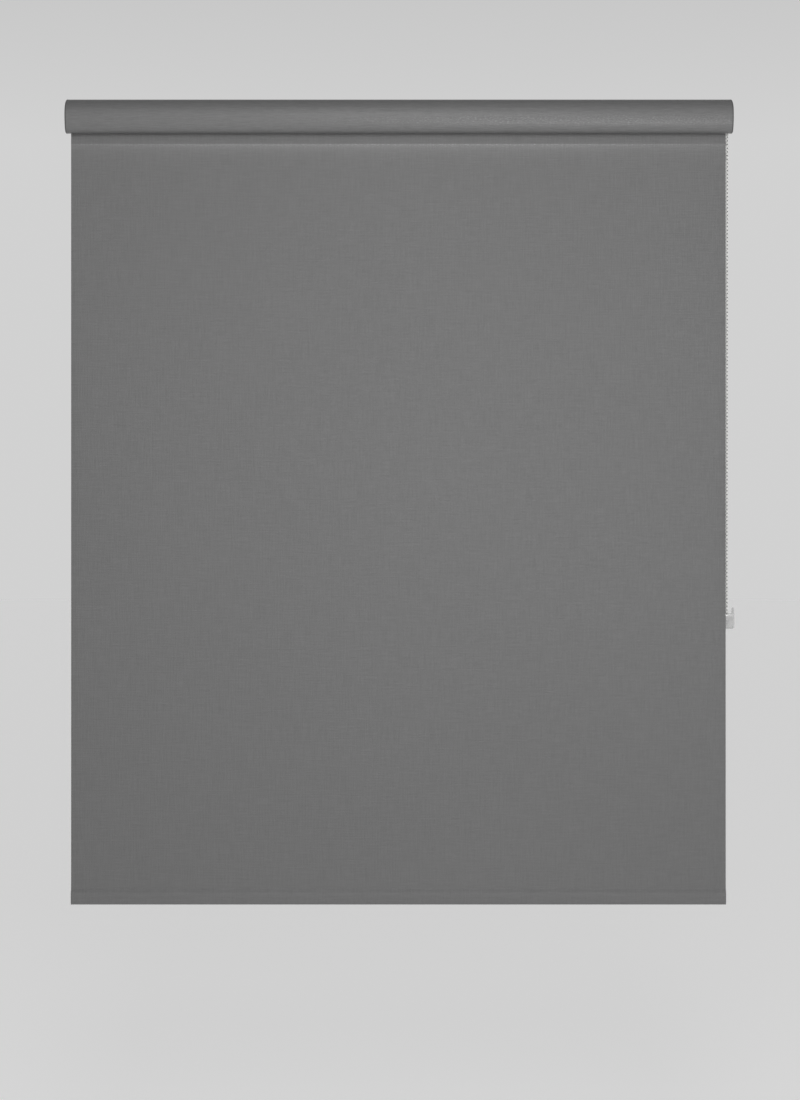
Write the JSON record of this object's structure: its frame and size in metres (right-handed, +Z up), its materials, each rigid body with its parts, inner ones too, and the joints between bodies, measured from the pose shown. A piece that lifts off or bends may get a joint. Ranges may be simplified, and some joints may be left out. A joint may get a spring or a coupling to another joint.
{
  "type": "roller blind",
  "caption": "Chain-operated roller blind with a fabric-wrapped cassette, hemmed bottom bar and a wall-fixed chain tidy.",
  "frame": {"origin": "on the ceiling face of the centre bracket, straight above the roller tube's axis and midway along the cassette", "axes": "+Z up and along the drop, +X along the cassette towards the chain, -Y into the room, +Y towards the window"},
  "size_m": [1.0738, 0.0686, 1.2947],
  "materials": {
    "blind_fabric": "grey blackout weave, matt with a soft sheen",
    "aluminium": "mill-finish extrusion",
    "steel": "turned steel",
    "zinc_plate": "zinc-plated sheet steel",
    "spring_steel": "spring wire",
    "grey_plastic": "moulded grey plastic",
    "black_plastic": "moulded black plastic",
    "white_plastic": "moulded off-white plastic",
    "bead_plastic": "off-white beads",
    "clear_plastic": "clear moulded plastic"
  },
  "bodies": {
    "cassette": {"cassette_fascia": "aluminium", "fascia_fabric": "blind_fabric", "end_cap_left": "grey_plastic", "end_cap_right": "grey_plastic", "end_cap_screw_left_1": "steel", "end_cap_screw_left_2": "steel", "end_cap_screw_left_3": "steel", "end_cap_screw_right_1": "steel", "end_cap_screw_right_2": "steel", "end_cap_screw_right_3": "steel", "bracket_left": "zinc_plate", "bracket_centre": "zinc_plate", "bracket_right": "zinc_plate", "cam_rivet_left": "steel", "cam_rivet_centre": "steel", "cam_rivet_right": "steel", "clutch_housing": "grey_plastic", "clutch_post": "steel", "clutch_screw": "steel", "clutch_circlip": "spring_steel", "idle_bush": "white_plastic", "ball_chain": "bead_plastic", "tidy_base": "clear_plastic", "tidy_cover": "clear_plastic", "tidy_axle": "steel", "fabric_sheet": "blind_fabric"},
    "roller": {"roller_tube": "aluminium", "fabric_roll": "blind_fabric", "fabric_spline": "grey_plastic", "drive_plug": "black_plastic", "idle_plug": "black_plastic", "idle_plug_cap": "black_plastic", "idle_spring": "spring_steel"},
    "idle_pin_body": {"idle_pin": "steel"},
    "sprocket": {"chain_sprocket": "white_plastic", "brake_spring_outer": "spring_steel", "brake_spring_inner": "spring_steel"},
    "chain_link": {"chain_connector": "clear_plastic", "chain_stop": "clear_plastic"},
    "tidy_wheel": {"tidy_pulley": "white_plastic"},
    "hem_bar": {"hem_sleeve": "blind_fabric", "bottom_bar": "aluminium", "bar_end_plug_left": "grey_plastic", "bar_end_plug_right": "grey_plastic"},
    "cam_left": {"bracket_cam_left": "white_plastic"},
    "cam_centre": {"bracket_cam_centre": "white_plastic"},
    "cam_right": {"bracket_cam_right": "white_plastic"}
  },
  "joints": [
    {"name": "roller_spin", "type": "hinge", "parent": "cassette", "child": "roller", "pos_m": [0, 0, -0.0335], "axis": [-1, 0, 0], "range_deg": [0, 3520]},
    {"name": "sprocket_spin", "type": "hinge", "parent": "cassette", "child": "sprocket", "pos_m": [0.5283, 0, -0.0335], "axis": [-1, 0, 0], "range_deg": [0, 3521]},
    {"name": "hem_bar_lift", "type": "slide", "parent": "cassette", "child": "hem_bar", "axis": [0, 0, 1], "range_m": [0, 1.2043], "deforming": ["fabric_sheet"]},
    {"name": "chain_link_slide", "type": "slide", "parent": "cassette", "child": "chain_link", "axis": [0, -0.0047, -1], "range_m": [0, 0.7123]},
    {"name": "tidy_wheel_spin", "type": "hinge", "parent": "cassette", "child": "tidy_wheel", "pos_m": [0.5283, 0, -0.83697], "axis": [-1, 0, 0], "range_deg": [0, 5205.6]},
    {"name": "idle_pin_slide", "type": "slide", "parent": "roller", "child": "idle_pin_body", "axis": [1, 0, 0], "range_m": [0, 0.004], "stiffness_N_per_m": 400, "springref_m": -0.01, "deforming": ["idle_spring"]},
    {"name": "bracket_cam_left_turn", "type": "hinge", "parent": "cassette", "child": "cam_left", "pos_m": [-0.4, 0.014, -0.004], "axis": [0, 0, 1], "range_deg": [0, 90]},
    {"name": "bracket_cam_centre_turn", "type": "hinge", "parent": "cassette", "child": "cam_centre", "pos_m": [0, 0.014, -0.004], "axis": [0, 0, 1], "range_deg": [0, 90]},
    {"name": "bracket_cam_right_turn", "type": "hinge", "parent": "cassette", "child": "cam_right", "pos_m": [0.4, 0.014, -0.004], "axis": [0, 0, 1], "range_deg": [0, 90]}
  ],
  "couplings": [
    {"joint": "sprocket_spin", "follows": "roller_spin", "ratio": 1},
    {"joint": "hem_bar_lift", "follows": "roller_spin", "m_per_rad": 0.0196},
    {"joint": "chain_link_slide", "follows": "roller_spin", "m_per_rad": 0.011591},
    {"joint": "tidy_wheel_spin", "follows": "roller_spin", "ratio": 1.4786}
  ]
}
